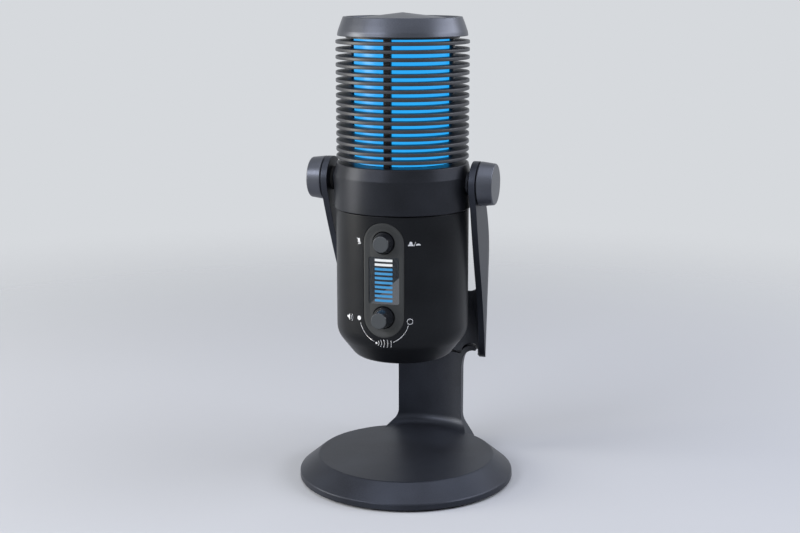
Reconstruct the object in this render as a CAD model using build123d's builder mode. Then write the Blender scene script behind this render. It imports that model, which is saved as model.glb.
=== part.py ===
from build123d import *
from math import cos, sin, radians, tan, sqrt
import os

os.makedirs("parts", exist_ok=True)

# Desktop microphone, mm. Origin: centre of the base disc on the table, front -Y, up +Z.

# ---- overall sizes
base_r = 60.0           # base disc
top_z = 259.4           # tip of the cap's cone
foot_proud = 1.0        # rubber foot below the base's rim
mic_y = -7.0            # the microphone's axis stands 7 mm in front of the base's centre
pivot_z = 169.7         # tilt axis, along X

# ---- fits
run_fit = 0.05          # radial, turning pins in their bores
bush_fit = 0.08         # radial, stud in the ear's bush
seat_gap = 0.1          # a piece lying in its seat
skin_gap = 0.12         # trim piece in its opening
slip = 0.4              # air between bodies that pass each other
tap_fit = 0.03          # screw thread in its tapped hole

# ---- base and column
rim_z = 4.57
deck_z = 13.3
deck_r = 49.4
foot_r = 54.0
foot_t = 2.0
plate_r = 47.0
plate_t = 5.8
back_gap = 0.1          # the column's back stays this far inside the base's rim
splay = 3.3             # the arms splay outwards by this much going up
yoke_set_back = 6.6     # the yoke's own U keeps its sides straight further back than the column's
collar_air = 2.5        # between the collar and the ears
lean_z0 = 66.0
lean_z1 = 156.0
yoke_t = 3.4
column_t = 5.0
column_w = 19.3         # half width
foot_fillet = 6.0
tongue_in = 2.25        # part of the sheet left to the yoke in front of the tongue
tongue_w = 26.0
tongue_top = 84.0
ballast_screw_r = 2.0
ballast_pitch_r = 33.0

# ---- yoke and clamp knobs
ear_r = 12.0
bush_r = 4.0
stud_r = 2.5
washer_r = 6.5
washer_t = 1.4
clamp_r0 = 12.0
clamp_r1 = 11.0
clamp_l = 8.4

# ---- microphone shell
body_r = 36.0
neck_step = 2.0
wall = 2.6
neck_wall = 2.1
bottom_z = 73.4
split_z = 155.5
neck_top = 177.5
collar_proud = 1.0
collar_z0 = 155.9
collar_z1 = 173.6
collar_z2 = 180.2
collar_draw = 1.4
insert_r = 4.0

# ---- grille, light and cap
ring_n = 16
ring_z0 = 183.5
ring_pitch = 4.0467
ring_t = 1.8
ring_step = 0.3
ring_deep = 8.1
rib_deep = 9.6
rib_w = 4.1
tube_air = 0.2
tube_t = 1.5
cap_z = 247.3
cap_step = 1.1
hoop_step = 6.0         # the grille's hoops inside the body's radius
vent_n = 40
led_n = 12

# ---- capsule
capsule_r = 8.0
capsule_l = 11.0
capsule_z = 222.0
shock_t = 2.45

# ---- front controls
pill_w = 11.1
pill_z0 = 90.7
pill_z1 = 152.2
panel_sunk = 0.6
panel_t = 1.8
win_w = 8.5
win_z0 = 108.8
win_z1 = 133.85
knob_zs = (141.6, 101.6)
knob_proud = (4.2, 8.0)
knob_r0 = 5.7
knob_r1 = 4.25
knob_bore = 6.2
shaft_r = 2.0
plunger_r = 3.5
bar_n = 10
bar_w = 5.0
bar_h = 1.3
bar_pitch = 2.4
bar_top = 132.25

# ---- sockets
jack_r = 1.8
jack_l = 14.0
jack_x = 9.0
usb_x = -8.0
usb_w = 8.94
usb_h = 3.26

# ---- derived
neck_r = body_r - neck_step
collar_r = body_r + collar_proud
collar_top_r = collar_r - collar_draw
ring_r = body_r - ring_step
ring_in = ring_r - ring_deep
rib_r = ring_r - rib_deep
tube_r = rib_r - tube_air
cap_r = body_r - cap_step
hoop_r = body_r - hoop_step
panel_r = body_r - panel_sunk
u_in = collar_r + collar_air
u_y = base_r - back_gap - column_t - u_in
u_low = u_in - splay
yoke_y = u_y + yoke_set_back
front_y = mic_y - body_r - 7.0
side_x = u_in + 10.5
rear_cut = base_r + 6.0
rim0 = foot_proud
roof_z = foot_t + seat_gap + plate_t + seat_gap
u_out = u_low + column_t
u_low_y = u_y + u_in - u_low
yoke_out = u_in + yoke_t
ear_out = yoke_out
clamp_x0 = ear_out + slip
clamp_x1 = clamp_x0 + clamp_l
boss_x = u_in - washer_t - 0.3
body_in = body_r - wall
neck_in = neck_r - neck_wall
Z = (0, 0, 1)


# ---- helpers: solids made free of any builder
def rod(r, z0, z1, x=0.0, y=0.0):
    return Solid.make_cylinder(r, z1 - z0, Plane((x, y, z0)))


def tube(ro, ri, z0, z1, x=0.0, y=0.0):
    return rod(ro, z0, z1, x, y) - rod(ri, z0 - 1, z1 + 1, x, y)


def rod_x(r, x0, x1, y, z):
    lo = min(x0, x1)
    return Solid.make_cylinder(r, abs(x1 - x0), Plane((lo, y, z), x_dir=(0, 1, 0), z_dir=(1, 0, 0)))


def rod_y(r, y0, y1, x, z):
    lo = min(y0, y1)
    return Solid.make_cylinder(r, abs(y1 - y0), Plane((x, lo, z), x_dir=(1, 0, 0), z_dir=(0, 1, 0)))


def block(x0, x1, y0, y1, z0, z1):
    return Solid.make_box(x1 - x0, y1 - y0, z1 - z0, Plane((x0, y0, z0)))


def outline(corners):
    """Closed flat outline; each corner (a, b, r) is rounded to radius r."""
    ends = []
    count = len(corners)
    for i, (a, b, r) in enumerate(corners):
        p = Vector(a, b)
        u = (Vector(*corners[i - 1][:2]) - p).normalized()
        v = (Vector(*corners[(i + 1) % count][:2]) - p).normalized()
        half = radians(u.get_angle(v)) / 2
        if r <= 0:
            ends.append((p, None, p))
            continue
        t = r / tan(half)
        mid = p + (u + v).normalized() * (r / sin(half) - r)
        ends.append((p + u * t, mid, p + v * t))
    edges = []
    for i in range(count):
        s, m, e = ends[i]
        if m is not None:
            edges.append(Edge.make_three_point_arc(s, m, e))
        nxt = ends[(i + 1) % count][0]
        if (nxt - e).length > 1e-5:
            edges.append(Edge.make_line(e, nxt))
    return Face(Wire(edges))


def spun(corners, x=0.0, y=0.0):
    """Outline given as (radius, z, rounding), turned about a vertical axis."""
    face = outline(corners).moved(Location(Plane((x, y, 0), x_dir=(1, 0, 0), z_dir=(0, -1, 0))))
    return Solid.revolve(face, 360, Axis((x, y, 0), Z))


def spun_x(corners, y, z, side=1):
    """Outline given as (x, radius, rounding), turned about an axis along X."""
    pts = [(side * a, b, r) for a, b, r in corners]
    face = outline(pts).moved(Location(Plane((0, y, z), x_dir=(1, 0, 0), z_dir=(0, -1, 0))))
    return Solid.revolve(face, 360, Axis((0, y, z), (1, 0, 0)))


def spun_y(corners, x, z):
    """Outline given as (y, radius, rounding), turned about an axis along Y."""
    face = outline(corners).moved(Location(Plane((x, 0, z), x_dir=(0, 1, 0), z_dir=(1, 0, 0))))
    return Solid.revolve(face, 360, Axis((x, 0, z), (0, 1, 0)))


def front(corners, y0, y1):
    """Outline in X and Z, standing from y0 back to y1."""
    face = outline(corners).moved(Location(Plane((0, y1, 0), x_dir=(1, 0, 0), z_dir=(0, -1, 0))))
    return Solid.extrude(face, Vector(0, y0 - y1, 0))


def u_core(r, y, z0, z1, reach):
    """A round back of radius r about (0, y) with straight sides running forward."""
    return rod(r, z0, z1, 0, y) + block(-r, r, y - reach, y, z0, z1)


def sheet(t0, t1, z0, z1):
    """The upright sheet at the foot, from t0 to t1 outside its inner radius."""
    return u_core(u_low + t1, u_low_y, z0, z1, 50) - u_core(u_low + t0, u_low_y, z0 - 1, z1 + 1, 51)


def u_wire(a, b, y, z, front_y):
    """A U seen from above: half an ellipse of radii a and b about (0, y), with straight sides forward."""
    return Wire([Edge.make_line((a, front_y, z), (a, y, z)),
                 Edge.make_ellipse(a, b, Plane((0, y, z)), 0, 180),
                 Edge.make_line((-a, y, z), (-a, front_y, z)),
                 Edge.make_line((-a, front_y, z), (a, front_y, z))])


def splayed(t, front_y):
    """The yoke's U filled in, at thickness t: upright at the foot and at the ears, splayed between."""
    depth = u_y + u_in - yoke_y
    low = [u_low + t, depth + t, yoke_y]
    high = [u_in + t, u_in + t, u_y]
    levels = ((low, 50.0), (low, lean_z0), (high, lean_z1), (high, 190.0))
    wires = [u_wire(*u, z, front_y) for u, z in levels]
    foot = Solid.extrude(Face(wires[0]), Vector(0, 0, lean_z0 - 50.0))
    ears = Solid.extrude(Face(wires[2]), Vector(0, 0, 190.0 - lean_z1))
    return foot + Solid.make_loft(wires[1:3], True) + ears


def around(shape, count, r, start=0.0, x=0.0, y=0.0):
    """Copies of a shape on a circle about a vertical axis."""
    out = []
    for i in range(count):
        a = start + 360.0 * i / count
        out.append(shape.moved(Location((x + r * cos(radians(a)), y + r * sin(radians(a)), 0), (0, 0, a))))
    return out


def csk(head_r, head_h, r, length):
    """Countersunk screw on the origin: head's face at z 0, shank downwards, cross recess."""
    cone = spun([(0, 0, 0), (head_r, 0, 0), (head_r, -0.3, 0), (r, -head_h, 0), (r, -length, 0),
                 (0, -length, 0)])
    arm = head_r * 0.55
    slot = block(-arm, arm, -0.3, 0.3, -0.9, 1) + block(-0.3, 0.3, -arm, arm, -0.9, 1)
    return cone - slot


def csk_void(head_r, head_h, r, length):
    return spun([(0, 1, 0), (head_r, 1, 0), (head_r, -0.3, 0), (r, -head_h, 0), (r, -length, 0),
                 (0, -length, 0)])


def turned(shape, x, y, z, rx=0.0, ry=0.0, rz=0.0):
    return shape.moved(Location((x, y, z), (rx, ry, rz)))


# =====================================================================  stand
groove_w = 2.0
with BuildPart() as foot_pad:
    add(rod(foot_r, 0, foot_t))
    for r in (20.0, 32.0, 44.0):
        add(tube(r + groove_w, r, -0.1, 0.4), mode=Mode.SUBTRACT)
foot_pad.part.label = "foot_pad"

# the column's front outline: foot flares, straight sides, arched head with a stepped top
flare_r = 9.0
flare_x = column_w + flare_r * (1 - cos(radians(45)))
flare_z = deck_z + flare_r * (1 - sin(radians(45)))


def column_outline():
    right = [Edge.make_line((0, 59.5), (17.4, 59.5)),
             Edge.make_spline([(17.4, 59.5), (20.4, 62.3), (23.5, 65.0), (26.8, 66.4), (29.4, 67.2)],
                              tangents=[(1, 0.15), (1, 0.15)]),
             Edge.make_three_point_arc((29.4, 67.2), (30.9, 66.1), (29.8, 64.6)),
             Edge.make_spline([(29.8, 64.6), (25.6, 62.9), (22.6, 60.6), (20.5, 57.1), (19.5, 52.6),
                               (column_w, 48.0)],
                              tangents=[(-1, -0.2), (0, -1)]),
             Edge.make_line((column_w, 48.0), (column_w, deck_z + flare_r)),
             Edge.make_three_point_arc((column_w, deck_z + flare_r),
                                       (column_w + flare_r * (1 - cos(radians(22.5))),
                                        deck_z + flare_r * (1 - sin(radians(22.5)))),
                                       (flare_x, flare_z)),
             Edge.make_line((flare_x, flare_z), (flare_x + flare_z - rim_z, rim_z)),
             Edge.make_line((flare_x + flare_z - rim_z, rim_z), (0, rim_z))]
    left = [e.mirror(Plane.YZ) for e in right]
    face = Face(Wire(right + left))
    face = face.moved(Location(Plane((0, rear_cut, 0), x_dir=(1, 0, 0), z_dir=(0, -1, 0))))
    return Solid.extrude(face, Vector(0, -40, 0))


def seam_cut():
    """Everything below the yoke's lower edge between the column's head and the seam."""
    right = [Edge.make_line((0, 60.8), (17.6, 60.8)),
             Edge.make_spline([(17.6, 60.8), (20.4, 63.7), (23.4, 66.4), (26.8, 67.8), (30.0, 68.4)],
                              tangents=[(1, 0.15), (1, 0.1)]),
             Edge.make_three_point_arc((30.0, 68.4), (32.2, 66.2), (31.6, 62.5)),
             Edge.make_line((31.6, 62.5), (31.6, 40)),
             Edge.make_line((31.6, 40), (0, 40))]
    left = [e.mirror(Plane.YZ) for e in right]
    face = Face(Wire(right + left))
    face = face.moved(Location(Plane((0, rear_cut, 0), x_dir=(1, 0, 0), z_dir=(0, -1, 0))))
    return Solid.extrude(face, Vector(0, -50, 0))


column = sheet(0, column_t, rim_z, 72) & column_outline()
fillet_ring = spun([(u_low + 1, deck_z - 3, 0), (u_low + 1, deck_z + foot_fillet, 0),
                    (u_low, deck_z + foot_fillet, 0),
                    (u_low, deck_z, foot_fillet * 0.98), (u_low - foot_fillet, deck_z, 0),
                    (u_low - foot_fillet, deck_z - 3, 0)], 0, u_low_y)
foot_sweep = fillet_ring & column_outline()
tongue = sheet(tongue_in, column_t, 56, tongue_top + 5) & front(
    [(-column_w + 1, 57, 0), (-tongue_w, 64.4, 0), (-tongue_w, tongue_top, 6), (tongue_w, tongue_top, 6),
     (tongue_w, 64.4, 0), (column_w - 1, 57, 0)], 36, 66)
yoke_screws_at = ((0.0, 77.5), (-9.0, 68.0), (9.0, 68.0))


def back_y(x, r):
    return u_low_y + sqrt(r * r - x * x)


with BuildPart() as stand_casting:
    add(spun([(0, rim0, 0), (base_r, rim0, 0.6), (base_r, rim_z, 1.0), (deck_r, deck_z, 1.6),
              (0, deck_z, 0)]))
    add(column & rod(base_r, 0, 90))
    add(foot_sweep & rod(base_r, 0, 90))
    add(tongue)
    add(rod(foot_r + 0.3, rim0 - 1, foot_t), mode=Mode.SUBTRACT)
    add(rod(plate_r + 0.2, rim0 - 1, roof_z), mode=Mode.SUBTRACT)
    for hole in around(rod(ballast_screw_r + tap_fit, roof_z - 1, roof_z + 4.2), 4, ballast_pitch_r, 45):
        add(hole, mode=Mode.SUBTRACT)
    for x, z in yoke_screws_at:
        add(turned(csk_void(3.1, 1.8, 1.55, 9), x, back_y(x, u_out), z, -90), mode=Mode.SUBTRACT)
stand_casting.part.label = "stand_casting"

plate_z0 = foot_t + seat_gap
with BuildPart() as ballast_plate:
    add(rod(plate_r, plate_z0, plate_z0 + plate_t))
    for void in around(turned(csk_void(4.1, 2.4, 2.15, 12), 0, 0, plate_z0, 180), 4, ballast_pitch_r, 45):
        add(void, mode=Mode.SUBTRACT)
ballast_plate.part.label = "ballast_plate"

with BuildPart() as ballast_screws:
    for s in around(turned(csk(4.0, 2.3, ballast_screw_r, 9.6), 0, 0, plate_z0 + 0.1, 180), 4,
                    ballast_pitch_r, 45):
        add(s)
ballast_screws.part.label = "ballast_screws"


def yoke_side():
    """Side view of the arms and of the back plate, in Y and Z."""
    py, pz = mic_y, pivot_z
    edges = [Edge.make_spline([(-17.7, 164.3), (-14.6, 157.5), (-11.3, 149.5), (-7.8, 141.5), (-3.2, 131.5),
                               (1.3, 122), (8.8, 107), (15.2, 92), (20.7, 77)], tangents=[(0.42, -0.91), (0.3, -0.95)]),
             Edge.make_spline([(20.7, 77), (23.6, 69.0), (27.2, 65.2), (32, 63.6), (38, 63.2)],
                              tangents=[(0.3, -0.95), (1, -0.04)]),
             Edge.make_line((38, 63.2), (62, 63.2)),
             Edge.make_line((62, 63.2), (62, 97.4)),
             Edge.make_line((62, 97.4), (54, 97.4)),
             Edge.make_spline([(54, 97.4), (45, 99.0), (38, 103.5), (31, 113), (24.9, 125.5), (18.2, 140.3),
                               (9.4, 155.2), (4.2, 165.4)], tangents=[(-1, 0.02), (-0.36, 0.93)]),
             Edge.make_line((4.2, 165.4), (py, pz)),
             Edge.make_line((py, pz), (-17.7, 164.3))]
    face = Face(Wire(edges)).moved(Location(Plane((-side_x, 0, 0), x_dir=(0, 1, 0), z_dir=(1, 0, 0))))
    return Solid.extrude(face, Vector(2 * side_x, 0, 0))


low_back = block(-31.5, 31.5, 36, 62, 58, 66)
yoke_blank = splayed(yoke_t, -34.0) - splayed(0, -35.0)
yoke_sides = yoke_side() + rod_x(ear_r, -side_x, side_x, mic_y, pivot_z) + low_back
with BuildPart() as yoke:
    add(yoke_blank & yoke_sides)
    add(seam_cut(), mode=Mode.SUBTRACT)
    add(sheet(tongue_in - seat_gap, column_t + 2, 50, 110) & front(
        [(-tongue_w - 0.2, 50, 0), (-tongue_w - 0.2, tongue_top + 0.2, 6),
         (tongue_w + 0.2, tongue_top + 0.2, 6),
         (tongue_w + 0.2, 50, 0)], 36, 66), mode=Mode.SUBTRACT)
    add(rod_x(bush_r + tap_fit, -side_x, side_x, mic_y, pivot_z), mode=Mode.SUBTRACT)
    for x, z in yoke_screws_at:
        add(rod_y(1.5 + tap_fit, back_y(x, u_low) + 0.5, 62, x, z), mode=Mode.SUBTRACT)
yoke.part.label = "yoke"

with BuildPart() as yoke_screws:
    for x, z in yoke_screws_at:
        depth = back_y(x, u_out) - back_y(x, u_low) - 0.7
        add(turned(csk(2.9, 1.6, 1.5, depth), x, back_y(x, u_out) - 0.1, z, -90))
yoke_screws.part.label = "yoke_screws"

with BuildPart() as ear_bushes:
    for side in (-1, 1):
        add(rod_x(bush_r, side * u_in, side * ear_out, mic_y, pivot_z)
            - rod_x(stud_r + bush_fit, side * (u_in - 1), side * (ear_out + 1), mic_y, pivot_z))
ear_bushes.part.label = "ear_bushes"

with BuildPart() as friction_washers:
    for side in (-1, 1):
        add(rod_x(washer_r, side * (u_in - washer_t), side * u_in, mic_y, pivot_z)
            - rod_x(stud_r + slip, side * (u_in - 3), side * (u_in + 1), mic_y, pivot_z))
friction_washers.part.label = "friction_washers"


# =====================================================================  clamp knobs
def clamp_stud(side, grow=0.0):
    shaft = rod_x(stud_r + grow, side * (neck_in - 1.4), side * (clamp_x0 + 3), mic_y, pivot_z)
    hexagon = Face(Wire.make_polygon([((5.0 + grow) * cos(radians(60 * k)),
                                       (5.0 + grow) * sin(radians(60 * k)))
                                      for k in range(6)]))
    x0 = clamp_x0 + 2.7 - grow
    hexagon = hexagon.moved(Location(Plane((side * x0, mic_y, pivot_z), x_dir=(0, 1, 0), z_dir=(side, 0, 0))))
    return shaft + Solid.extrude(hexagon, Vector(side * (3.5 + 2 * grow), 0, 0))


def clamp_knob(side):
    return spun_x([(clamp_x0, 0, 0), (clamp_x0, clamp_r0, 0.4), (clamp_x1, clamp_r1, 0.7), (clamp_x1, 0, 0)],
                  mic_y, pivot_z, side)


with BuildPart() as left_knob:
    add(clamp_knob(-1))
    add(clamp_stud(-1, 0.02), mode=Mode.SUBTRACT)
left_knob.part.label = "left_knob"
with BuildPart() as left_stud:
    add(clamp_stud(-1))
left_stud.part.label = "left_stud"
with BuildPart() as right_knob:
    add(clamp_knob(1))
    add(clamp_stud(1, 0.02), mode=Mode.SUBTRACT)
right_knob.part.label = "right_knob"
with BuildPart() as right_stud:
    add(clamp_stud(1))
right_stud.part.label = "right_stud"


# =====================================================================  microphone shell
def pill(grow, y0, y1):
    w = pill_w + grow
    return front([(-w, pill_z0 - grow, w * 0.999), (-w, pill_z1 + grow, w * 0.999),
                  (w, pill_z1 + grow, w * 0.999),
                  (w, pill_z0 - grow, w * 0.999)], y0, y1)


screw_ys = (mic_y - 17.0, mic_y + 17.0)
post_xs = (-15.9, 15.9)
floor_z = bottom_z + wall
port_z = 84.5
with BuildPart() as body_shell:
    add(spun([(0, bottom_z, 0), (body_r - 10.6, bottom_z, 7), (body_r, 86.9, 12), (body_r, split_z, 0.4),
              (neck_r, split_z, 0),
              (neck_r, neck_top, 0.3), (neck_in, neck_top, 0.3), (neck_in, 150, 0), (body_in, 147.5, 0),
              (body_in, 87.85, 9.5), (body_r - 11.9, floor_z, 4.5), (0, floor_z, 0)], 0, mic_y))
    for y in screw_ys:
        add(rod(4.0, floor_z - 0.5, 91.8, 0, y))
    for x in post_xs:
        add(rod(2.2, floor_z - 0.5, port_z, x, mic_y))
    add(pill(skin_gap, front_y, mic_y - 20), mode=Mode.SUBTRACT)
    for side in (-1, 1):
        add(rod_x(insert_r + tap_fit, side * (neck_in - 6.9), side * (body_r + 4), mic_y, pivot_z),
            mode=Mode.SUBTRACT)
    for y in screw_ys:
        add(turned(csk_void(3.0, 1.7, 1.6, 20), 0, y, bottom_z, 180), mode=Mode.SUBTRACT)
    add(rod(3.1, bottom_z - 1, floor_z + 1, jack_x, mic_y), mode=Mode.SUBTRACT)
    usb_cut = outline([(-4.75, -1.9, 1.7), (4.75, -1.9, 1.7), (4.75, 1.9, 1.7), (-4.75, 1.9, 1.7)])
    add(Solid.extrude(usb_cut.moved(Location((usb_x, mic_y, bottom_z - 1))), Vector(0, 0, wall + 2)),
        mode=Mode.SUBTRACT)
body_shell.part.label = "body_shell"

with BuildPart() as body_screws:
    for y in screw_ys:
        add(turned(csk(2.9, 1.6, 1.5, 20.0), 0, y, bottom_z + 0.1, 180))
body_screws.part.label = "body_screws"

with BuildPart() as collar:
    add(spun([(collar_r, collar_z0, 0.4), (collar_r, collar_z1, 0.8), (collar_top_r, collar_z2, 0.6),
              (hoop_r + seat_gap, collar_z2, 0), (hoop_r + seat_gap, neck_top + seat_gap, 0),
              (neck_r + seat_gap, neck_top + seat_gap, 0),
              (neck_r + seat_gap, collar_z0, 0)], 0, mic_y))
    for side in (-1, 1):
        add(rod_x(washer_r, side * (neck_r + 0.3), side * boss_x, mic_y, pivot_z))
    for side in (-1, 1):
        add(rod_x(insert_r + tap_fit, side * (neck_in - 6.9), side * (body_r + 4), mic_y, pivot_z),
            mode=Mode.SUBTRACT)
collar.part.label = "collar"

with BuildPart() as pivot_inserts:
    for side in (-1, 1):
        add(rod_x(insert_r, side * (neck_in - 3.4), side * (boss_x - 0.1), mic_y, pivot_z))
        add(rod_x(5.5, side * (neck_in - 3.4), side * (neck_in - 1.0), mic_y, pivot_z))
        add(rod_x(stud_r + run_fit, side * (neck_in - 11.9), side * (boss_x + 4.2), mic_y, pivot_z),
            mode=Mode.SUBTRACT)
pivot_inserts.part.label = "pivot_inserts"

# =====================================================================  chassis
plate_hi = 173.5
plate_hi_top = neck_top - 0.2
plate_lo = 92.0
plate_lo_top = 95.0
board_y = mic_y - (body_r - 12.6)
rear_y = 5.0
base_turn = 72.0        # angle of the screws that hold the grille's foot ring
with BuildPart() as chassis:
    add(rod(neck_in - 0.2, plate_hi, plate_hi_top, 0, mic_y))
    add(rod(body_in - 3.4, plate_lo, plate_lo_top, 0, mic_y))
    for side in (-1, 1):
        xs = sorted((side * 15.0, side * 20.0))
        add(block(xs[0], xs[1], board_y, board_y + 6, plate_lo_top - 0.5, plate_hi + 0.5))
        xr = sorted((side * 19.0, side * 24.0))
        add(block(xr[0], xr[1], rear_y - 4, rear_y, plate_lo_top - 0.5, plate_hi + 0.5))
    add(rod(6.0, plate_hi - 1, plate_hi_top + 1, 0, mic_y), mode=Mode.SUBTRACT)
    for side in (-1, 1):
        add(rod_x(6.2, side * (neck_in - 5.9), side * (neck_in + 1.1), mic_y, pivot_z), mode=Mode.SUBTRACT)
    for y in screw_ys:
        add(rod(1.5 + tap_fit, 91, plate_lo_top - 0.4, 0, y), mode=Mode.SUBTRACT)
    add(block(jack_x - 4, jack_x + 4, mic_y - 4, mic_y + 4, 91, 96), mode=Mode.SUBTRACT)
    for hole in around(turned(csk_void(2.35, 1.45, 1.25, 6), 0, 0, plate_hi, 180), 4, hoop_r - 1.8, base_turn,
                       0, mic_y):
        add(hole, mode=Mode.SUBTRACT)
    for x in (-17.5, 17.5):
        for z in (99.0, 147.0):
            add(rod_y(1.25 + tap_fit, board_y - 1, board_y + 5, x, z), mode=Mode.SUBTRACT)
    for x in (-21.5, 21.5):
        for z in (101.0, 166.0):
            add(rod_y(1.25 + tap_fit, rear_y - 4.1, rear_y + 1, x, z), mode=Mode.SUBTRACT)
chassis.part.label = "chassis"

grille_screw = csk(2.2, 1.2, 1.2, 6.0)
with BuildPart() as chassis_screws:
    for s in around(turned(grille_screw, 0, 0, plate_hi + 0.1, 180), 4, hoop_r - 1.8, base_turn, 0, mic_y):
        add(s)
chassis_screws.part.label = "chassis_screws"


# =====================================================================  grille, light, cap
def grille_ring(z):
    h = ring_t / 2
    return spun([(ring_in, z - h, 0.3), (ring_r, z - h, h * 0.95), (ring_r, z + h, h * 0.95),
                 (ring_in, z + h, 0.3)],
                0, mic_y)


ring_zs = [ring_z0 + ring_pitch * i for i in range(ring_n)]
hoop_z0 = cap_z - 1.1
hoop_z1 = cap_z + 1.9
with BuildPart() as grille_cage:
    add(tube(hoop_r, rib_r, neck_top + seat_gap, collar_z2, 0, mic_y))
    add(tube(hoop_r + 0.4, rib_r, hoop_z0, hoop_z1, 0, mic_y))
    for k in range(4):
        rib = block(rib_r + 0.02, ring_in + 0.7, -rib_w / 2, rib_w / 2, neck_top + seat_gap, hoop_z1)
        add(rib.moved(Location((0, mic_y, 0), (0, 0, 90 * k))))
    for z in ring_zs:
        add(grille_ring(z))
    for hole in around(rod(1.2 + tap_fit, 170, collar_z2 - 0.3), 4, hoop_r - 1.8, base_turn, 0, mic_y):
        add(hole, mode=Mode.SUBTRACT)
    for hole in around(turned(csk_void(2.15, 1.35, 1.15, 6), 0, 0, hoop_z0, 180), 4, hoop_r - 1.7, 45, 0,
                       mic_y):
        add(hole, mode=Mode.SUBTRACT)
grille_cage.part.label = "grille_cage"

with BuildPart() as cap_screws:
    for s in around(turned(csk(2.0, 1.1, 1.1, 6.2), 0, 0, hoop_z0 + 0.1, 180), 4, hoop_r - 1.7, 45, 0, mic_y):
        add(s)
cap_screws.part.label = "cap_screws"

roof_in = 254.2
vent_r0 = hoop_r - 4.8
vent_r1 = hoop_r - 0.6
vent_w = 1.6
with BuildPart() as top_cap:
    add(spun([(hoop_r + 0.7, cap_z, 0), (cap_r, cap_z, 0.3), (cap_r - 0.4, 249.6, 6),
              (cap_r - 1.6, 253.0, 10), (cap_r - 3.2, 257.2, 0.35), (hoop_r + 0.3, 257.2, 0.3),
              (hoop_r - 0.1, 256.2, 0), (hoop_r - 5.4, 256.4, 0), (0, top_z, 0), (0, roof_in + 2.4, 0),
              (hoop_r - 6.0, roof_in, 0), (hoop_r + 0.7, roof_in, 0)], 0, mic_y))
    for boss in around(rod(2.2, hoop_z1 + 0.1, roof_in + 0.5), 4, hoop_r - 1.7, 45, 0, mic_y):
        add(boss)
    for hole in around(rod(1.1 + tap_fit, hoop_z1 - 1, roof_in - 1), 4, hoop_r - 1.7, 45, 0, mic_y):
        add(hole, mode=Mode.SUBTRACT)
    slots = around(block(-(vent_r1 - vent_r0) / 2, (vent_r1 - vent_r0) / 2, -vent_w / 2, vent_w / 2,
                         roof_in - 0.1, 258), vent_n, (vent_r0 + vent_r1) / 2, 4.5, 0, mic_y)
    add(slots, mode=Mode.SUBTRACT)
top_cap.part.label = "top_cap"

with BuildPart() as vent_mesh:
    add(tube(hoop_r + 0.5, hoop_r - 5.7, roof_in - 0.5, roof_in - 0.1, 0, mic_y))
    for hole in around(rod(2.4, 250, 256), 4, hoop_r - 1.7, 45, 0, mic_y):
        add(hole, mode=Mode.SUBTRACT)
vent_mesh.part.label = "vent_mesh"

tube_in = tube_r - tube_t
with BuildPart() as light_tube:
    add(tube(tube_r, tube_in, collar_z2 + 0.2, hoop_z0 - 0.1, 0, mic_y))
    slits = []
    for z in ring_zs:
        for k in range(4):
            turn = Location((0, mic_y, 0), (0, 0, 22.5 + 45 * k))
            slits.append(block(-hoop_r, hoop_r, -4.5, 4.5, z - 0.5, z + 0.5).moved(turn))
    add(slits, mode=Mode.SUBTRACT)
light_tube.part.label = "light_tube"

led_board_z = plate_hi_top + 0.1
with BuildPart() as light_board:
    add(tube(tube_r - 0.3, 11.0, led_board_z, led_board_z + 1.4, 0, mic_y))
light_board.part.label = "light_board"

with BuildPart() as light_leds:
    for led in around(block(-1.3, 1.3, -1.6, 1.6, led_board_z + 1.4, led_board_z + 2.6), led_n, tube_in - 0.8,
                      15, 0, mic_y):
        add(led)
light_leds.part.label = "light_leds"

with BuildPart() as foam_sleeve:
    add(tube(tube_in - 0.1, 20.5, led_board_z + 2.8, hoop_z0 - 0.3, 0, mic_y))
foam_sleeve.part.label = "foam_sleeve"

hold_r = capsule_r + shock_t
with BuildPart() as capsule_holder:
    add(rod(9.5, plate_hi_top, plate_hi_top + 2.6, 0, mic_y))
    add(rod(3.2, plate_hi_top + 1, capsule_z - hold_r - 1, 0, mic_y))
    add(rod_y(hold_r + 2.6, mic_y - 4, mic_y + 4, 0, capsule_z))
    add(rod_y(hold_r, mic_y - 6, mic_y + 6, 0, capsule_z), mode=Mode.SUBTRACT)
capsule_holder.part.label = "capsule_holder"

with BuildPart() as shock_ring:
    add(rod_y(hold_r, mic_y - 4.6, mic_y + 4.6, 0, capsule_z) -
        rod_y(capsule_r, mic_y - 7, mic_y + 7, 0, capsule_z))
shock_ring.part.label = "shock_ring"

cap_y0 = mic_y - capsule_l / 2
with BuildPart() as capsule:
    add(rod_y(capsule_r, cap_y0, cap_y0 + capsule_l, 0, capsule_z))
    add(rod_y(capsule_r - 1, cap_y0 - 1, cap_y0 + 0.8, 0, capsule_z), mode=Mode.SUBTRACT)
capsule.part.label = "capsule"

with BuildPart() as diaphragm:
    add(rod_y(capsule_r - 1.05, cap_y0 + 0.3, cap_y0 + 0.8, 0, capsule_z))
diaphragm.part.label = "diaphragm"

# =====================================================================  front controls
panel_in = panel_r - panel_t
with BuildPart() as control_panel:
    add(tube(panel_r, panel_in, 85, 160, 0, mic_y) & pill(0, front_y, mic_y - 20))
    for z in knob_zs:
        add(rod_y(knob_bore, front_y, front_y + 20, 0, z), mode=Mode.SUBTRACT)
    add(block(-win_w - 0.1, win_w + 0.1, front_y, front_y + 20, win_z0 - 0.1, win_z1 + 0.1),
        mode=Mode.SUBTRACT)
control_panel.part.label = "control_panel"

with BuildPart() as display_window:
    add(tube(panel_r - 0.1, panel_r - 1.5, win_z0, win_z1, 0, mic_y) &
        block(-win_w, win_w, front_y, front_y + 20, win_z0, win_z1))
display_window.part.label = "display_window"

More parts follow.
